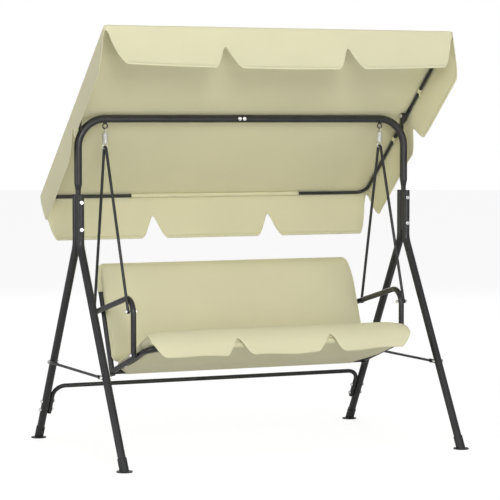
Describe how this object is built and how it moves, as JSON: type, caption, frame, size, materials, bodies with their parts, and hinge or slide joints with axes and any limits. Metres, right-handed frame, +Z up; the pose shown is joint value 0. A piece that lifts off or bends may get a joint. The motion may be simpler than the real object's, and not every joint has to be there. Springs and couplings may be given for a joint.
{
  "type": "canopy swing bench",
  "caption": "Garden swing bench: a padded bench hung on springs from a bolted tube frame, under a tilting fabric canopy with valances.",
  "frame": {"origin": "on the ground midway between the four feet, under the middle of the top beam", "axes": "+X to the right seen from the front, -Y to the front where a sitter's feet hang, +Z up"},
  "size_m": [1.7208, 1.2026, 1.9047],
  "materials": {
    "charcoal_tube": "satin charcoal powder coat",
    "bright_zinc": "bright zinc plating",
    "black_plastic": "matte black moulding",
    "cream_cloth": "plain woven polyester, cream",
    "pad_cloth": "padded woven polyester, cream"
  },
  "bodies": {
    "main_frame": {"top_beam_left": "charcoal_tube", "top_beam_right": "charcoal_tube", "beam_joiner": "charcoal_tube", "leg_front_left": "charcoal_tube", "leg_front_right": "charcoal_tube", "leg_rear_left": "charcoal_tube", "leg_rear_right": "charcoal_tube", "leg_top_caps": "black_plastic", "foot_front_left": "black_plastic", "foot_front_right": "black_plastic", "foot_rear_left": "black_plastic", "foot_rear_right": "black_plastic", "side_brace_left": "charcoal_tube", "side_brace_right": "charcoal_tube", "rear_stretcher": "charcoal_tube", "beam_bolts": "bright_zinc", "post_bolts": "bright_zinc", "brace_bolts": "bright_zinc", "stretcher_bolts": "bright_zinc", "hanging_eye_left": "charcoal_tube", "hanging_eye_right": "charcoal_tube", "pivot_bolts": "bright_zinc", "canopy_bracket_left": "charcoal_tube", "canopy_bracket_right": "charcoal_tube"},
    "springs": {"spring_left": "bright_zinc", "spring_right": "bright_zinc"},
    "bench": {"hanger_left": "charcoal_tube", "hanger_right": "charcoal_tube", "armrest_left": "charcoal_tube", "armrest_right": "charcoal_tube", "seat_frame": "charcoal_tube", "back_frame": "charcoal_tube", "seat_rear_bar": "charcoal_tube", "back_frame_caps": "black_plastic", "bench_bolts": "bright_zinc", "seat_sling": "cream_cloth", "seat_pad": "pad_cloth", "seat_valance": "cream_cloth", "back_pad": "pad_cloth"},
    "canopy": {"canopy_rod_front": "charcoal_tube", "canopy_rod_rear": "charcoal_tube", "canopy_pivot_left": "charcoal_tube", "canopy_pivot_right": "charcoal_tube", "canopy_roof": "cream_cloth", "canopy_valance_front": "cream_cloth", "canopy_valance_rear": "cream_cloth", "canopy_valance_left": "cream_cloth", "canopy_valance_right": "cream_cloth", "canopy_rear_pocket": "cream_cloth", "canopy_ties": "cream_cloth"},
    "knob_left": {"tilt_knob_left": "black_plastic"},
    "knob_right": {"tilt_knob_right": "black_plastic"}
  },
  "joints": [
    {"name": "seat_swing", "type": "hinge", "parent": "main_frame", "child": "springs", "pos_m": [0, 0, 1.4565], "axis": [1, 0, 0], "range_deg": [-12, 12]},
    {"name": "seat_bounce", "type": "slide", "parent": "springs", "child": "bench", "axis": [0, 0, -1], "range_m": [0, 0.03], "stiffness_N_per_m": 40000, "springref_m": -0.012, "deforming": ["spring_left", "spring_right"]},
    {"name": "canopy_tilt", "type": "hinge", "parent": "main_frame", "child": "canopy", "pos_m": [0, 0, 1.513], "axis": [1, 0, 0], "range_deg": [0, 80]},
    {"name": "knob_left_turn", "type": "hinge", "parent": "main_frame", "child": "knob_left", "pos_m": [-0.8, 0, 1.513], "axis": [1, 0, 0], "continuous": true},
    {"name": "knob_right_turn", "type": "hinge", "parent": "main_frame", "child": "knob_right", "pos_m": [0.8, 0, 1.513], "axis": [1, 0, 0], "continuous": true}
  ]
}
